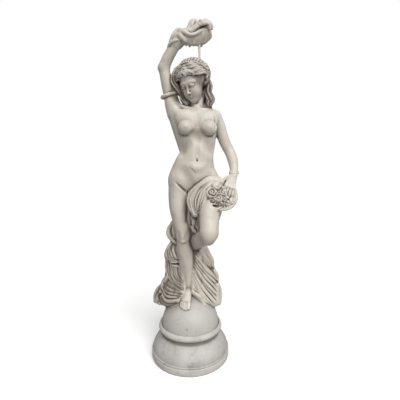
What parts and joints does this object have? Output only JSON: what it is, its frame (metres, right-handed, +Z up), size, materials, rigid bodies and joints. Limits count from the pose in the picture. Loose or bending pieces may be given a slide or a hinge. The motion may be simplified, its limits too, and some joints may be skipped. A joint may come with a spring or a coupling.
{
  "type": "marble statue",
  "caption": "Marble statue of a standing nude woman with one arm raised and cloth fallen about her legs, on a globe set in a moulded round base.",
  "frame": {"origin": "centre of the base's underside", "axes": "+Z up; -Y is the front, which the figure's body faces; +X to the viewer's right, on the side of the lowered arm"},
  "size_m": [0.4476, 0.4177, 1.6999],
  "materials": {
    "marble": "honed cream marble, weathered, with brown-grey dirt in its recesses",
    "socle_marble": "honed pale grey marble, mottled and lightly pitted"
  },
  "bodies": {
    "root": {"figure": "marble", "socle": "socle_marble"}
  },
  "joints": []
}
